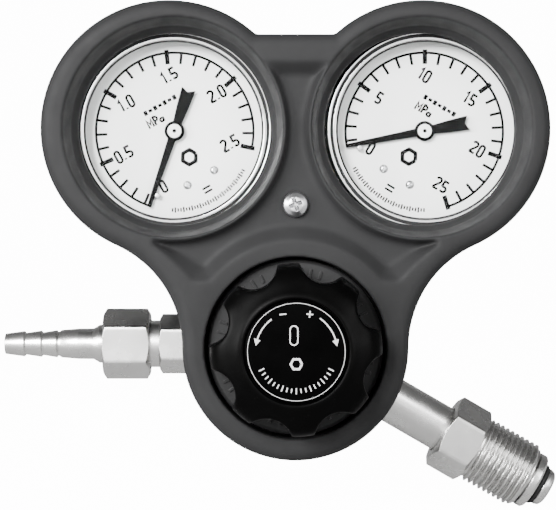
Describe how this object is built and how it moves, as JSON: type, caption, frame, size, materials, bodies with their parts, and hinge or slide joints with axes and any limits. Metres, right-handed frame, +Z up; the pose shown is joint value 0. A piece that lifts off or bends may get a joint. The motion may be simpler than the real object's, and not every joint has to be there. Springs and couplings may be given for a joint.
{
  "type": "oxygen cylinder pressure regulator",
  "caption": "Cylinder pressure regulator with pressure and flow gauges in a moulded guard, a lobed adjusting knob, a gland-nut inlet and a hose-barb outlet.",
  "frame": {"origin": "on the knob's axis, at the flat end of the hexagon plug on the back", "axes": "+X towards the viewer's right when facing the gauges, +Y out of the back, +Z up towards the gauges"},
  "size_m": [0.1784, 0.0834, 0.1608],
  "materials": {
    "guard_plastic": "moulded, fine matt grain",
    "bonnet_grey": "satin grey paint",
    "nickel": "nickel-plated brass, satin",
    "brass": "machined",
    "steel": "zinc plated",
    "knob_plastic": "semi-gloss black",
    "case_black": "black enamel",
    "dial_white": "matt white with black scale",
    "pointer_black": "matt black",
    "window_clear": "clear flat window",
    "rubber": "moulded"
  },
  "bodies": {
    "regulator": {"bonnet": "bonnet_grey", "bracket_screw_left": "steel", "bracket_screw_right": "steel", "diaphragm": "rubber", "guard": "guard_plastic", "guard_bracket": "steel", "guard_screw": "steel", "guard_standoff": "nickel", "hose_barb": "nickel", "hose_nut": "nickel", "inlet_filter": "brass", "inlet_nipple": "nickel", "nipple_seal": "rubber", "outlet_connector": "nickel", "poppet_spring": "steel", "range_spring": "steel", "regulator_body": "brass", "relief_cap": "nickel", "relief_spring": "steel", "relief_valve_body": "nickel", "seat_nozzle": "brass", "seat_retainer": "nickel", "slip_ring": "brass", "left_bezel": "nickel", "left_bourdon_tube": "brass", "left_dial": "dial_white", "left_gauge_case": "case_black", "left_gauge_socket": "brass", "left_hairspring": "brass", "left_movement_frame": "brass", "left_window": "window_clear", "right_bezel": "nickel", "right_bourdon_tube": "brass", "right_dial": "dial_white", "right_gauge_case": "case_black", "right_gauge_socket": "brass", "right_hairspring": "brass", "right_movement_frame": "brass", "right_window": "window_clear"},
    "valve": {"diaphragm_plate": "brass", "push_pin": "steel", "valve_poppet": "brass"},
    "button": {"spring_button": "steel", "thrust_ball": "steel"},
    "knob": {"knob": "knob_plastic", "knob_disc": "knob_plastic", "knob_screw": "steel", "adjusting_screw": "steel"},
    "inlet_nut": {"inlet_nut": "nickel"},
    "relief": {"relief_poppet": "steel"},
    "left_pointer": {"left_pointer": "pointer_black", "left_pinion": "brass"},
    "left_sector": {"left_sector_gear": "brass"},
    "left_link": {"left_link": "brass"},
    "left_tip": {"left_tube_tip": "brass"},
    "right_pointer": {"right_pointer": "pointer_black", "right_pinion": "brass"},
    "right_sector": {"right_sector_gear": "brass"},
    "right_link": {"right_link": "brass"},
    "right_tip": {"right_tube_tip": "brass"}
  },
  "joints": [
    {"name": "adjust_slide", "type": "slide", "parent": "regulator", "child": "button", "axis": [0, 1, 0], "range_m": [0, 0.00375], "deforming": ["range_spring"]},
    {"name": "knob_turn", "type": "hinge", "parent": "button", "child": "knob", "pos_m": [0, -0.07, 0], "axis": [0, 1, 0], "range_deg": [0, 1080]},
    {"name": "valve_lift", "type": "slide", "parent": "regulator", "child": "valve", "axis": [0, 1, 0], "range_m": [0, 0.0008], "stiffness_N_per_m": 3000, "deforming": ["diaphragm", "poppet_spring"]},
    {"name": "inlet_nut_spin", "type": "hinge", "parent": "regulator", "child": "inlet_nut", "pos_m": [0.06495, -0.025, -0.0375], "axis": [0.866, 0, -0.5], "continuous": true},
    {"name": "relief_lift", "type": "slide", "parent": "regulator", "child": "relief", "axis": [0, 1, 0], "range_m": [0, 0.001], "stiffness_N_per_m": 2000, "deforming": ["relief_spring"]},
    {"name": "left_pointer_turn", "type": "hinge", "parent": "regulator", "child": "left_pointer", "pos_m": [-0.0385, -0.025, 0.0684], "axis": [0, 1, 0], "range_deg": [0, 264], "deforming": ["left_hairspring"]},
    {"name": "left_sector_turn", "type": "hinge", "parent": "regulator", "child": "left_sector", "pos_m": [-0.03188, -0.025, 0.05664], "axis": [0, 1, 0], "range_deg": [-33.1, 0]},
    {"name": "left_link_turn", "type": "hinge", "parent": "left_sector", "child": "left_link", "pos_m": [-0.02603, -0.025, 0.05797], "axis": [0, 1, 0], "range_deg": [0, 39]},
    {"name": "left_tip_turn", "type": "hinge", "parent": "regulator", "child": "left_tip", "pos_m": [-0.03759, -0.025, 0.07718], "axis": [0, 1, 0], "range_deg": [-10.9, 0], "deforming": ["left_bourdon_tube"]},
    {"name": "right_pointer_turn", "type": "hinge", "parent": "regulator", "child": "right_pointer", "pos_m": [0.0414, -0.025, 0.0684], "axis": [0, 1, 0], "range_deg": [0, 264], "deforming": ["right_hairspring"]},
    {"name": "right_sector_turn", "type": "hinge", "parent": "regulator", "child": "right_sector", "pos_m": [0.03441, -0.025, 0.05685], "axis": [0, 1, 0], "range_deg": [-33.1, 0]},
    {"name": "right_link_turn", "type": "hinge", "parent": "right_sector", "child": "right_link", "pos_m": [0.03845, -0.025, 0.05241], "axis": [0, 1, 0], "range_deg": [0, 39]},
    {"name": "right_tip_turn", "type": "hinge", "parent": "regulator", "child": "right_tip", "pos_m": [0.04949, -0.025, 0.07192], "axis": [0, 1, 0], "range_deg": [-10.9, 0], "deforming": ["right_bourdon_tube"]}
  ],
  "couplings": [
    {"joint": "adjust_slide", "follows": "knob_turn", "m_per_rad": 0.00019894},
    {"joint": "left_sector_turn", "follows": "left_pointer_turn", "ratio": -0.125},
    {"joint": "left_link_turn", "follows": "left_pointer_turn", "ratio": 0.14727},
    {"joint": "left_tip_turn", "follows": "left_pointer_turn", "ratio": -0.041026},
    {"joint": "right_sector_turn", "follows": "right_pointer_turn", "ratio": -0.125},
    {"joint": "right_link_turn", "follows": "right_pointer_turn", "ratio": 0.14727},
    {"joint": "right_tip_turn", "follows": "right_pointer_turn", "ratio": -0.041026}
  ]
}
